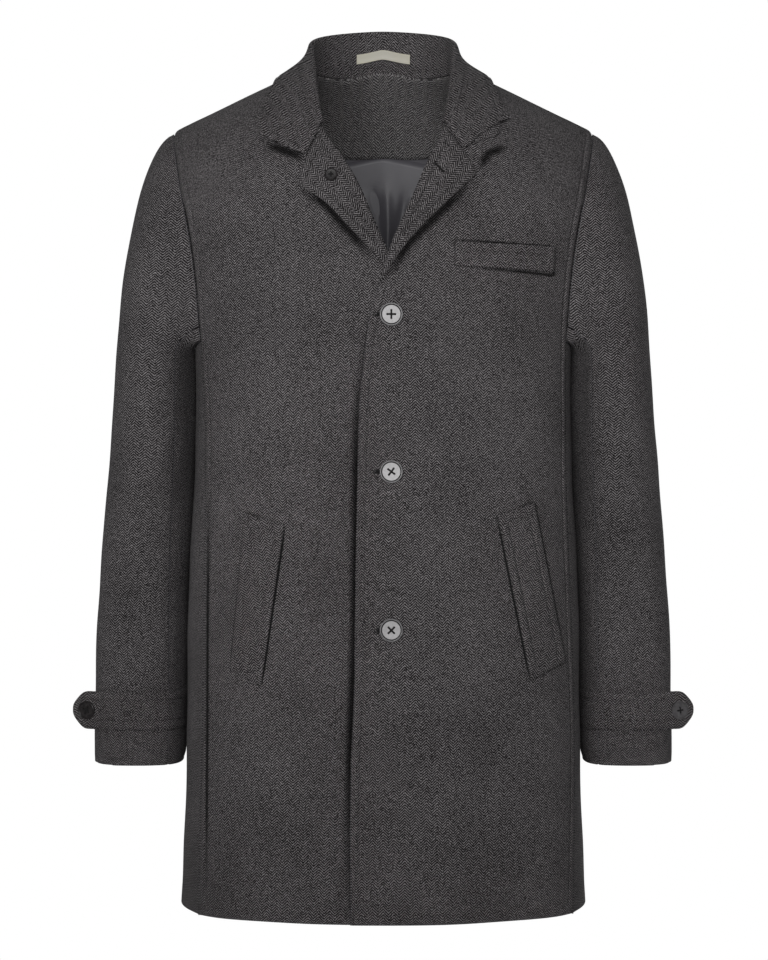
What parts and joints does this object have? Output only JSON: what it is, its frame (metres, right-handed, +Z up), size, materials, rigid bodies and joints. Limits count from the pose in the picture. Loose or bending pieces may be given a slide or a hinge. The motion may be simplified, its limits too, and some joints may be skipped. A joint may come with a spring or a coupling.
{
  "type": "wool overcoat",
  "caption": "Men's single-breasted herringbone wool overcoat in hollow worn form, notched lapels, welt pockets and buttoned cuff straps, open at neck, hem and cuffs.",
  "frame": {"origin": "middle of the neck base, at the height of the shoulder seams' neck ends", "axes": "+Z up the standing wearer, +X to the wearer's left, -Y to the wearer's front"},
  "size_m": [0.6468, 0.2694, 0.924],
  "materials": {
    "wool": "matte brushed herringbone",
    "lining": "satin",
    "label": "satin tape",
    "button": "semi-gloss",
    "dark_button": "semi-gloss"
  },
  "bodies": {
    "root": {"front_left": "wool", "front_right": "wool", "side_panel_left": "wool", "side_panel_right": "wool", "back": "wool", "lapel_left": "wool", "lapel_right": "wool", "collar": "wool", "back_neck_facing": "wool", "top_sleeve_left": "wool", "under_sleeve_left": "wool", "top_sleeve_right": "wool", "under_sleeve_right": "wool", "cuff_strap_left": "wool", "cuff_strap_right": "wool", "chest_welt": "wool", "hip_welt_right": "wool", "hip_welt_left": "wool", "throat_tab": "wool", "back_lining": "lining", "hanger_loop": "label", "cuff_button_left": "button", "front_button_upper": "button", "front_button_middle": "button", "front_button_lower": "button", "cuff_button_right": "dark_button", "counter_button": "dark_button"}
  },
  "joints": []
}
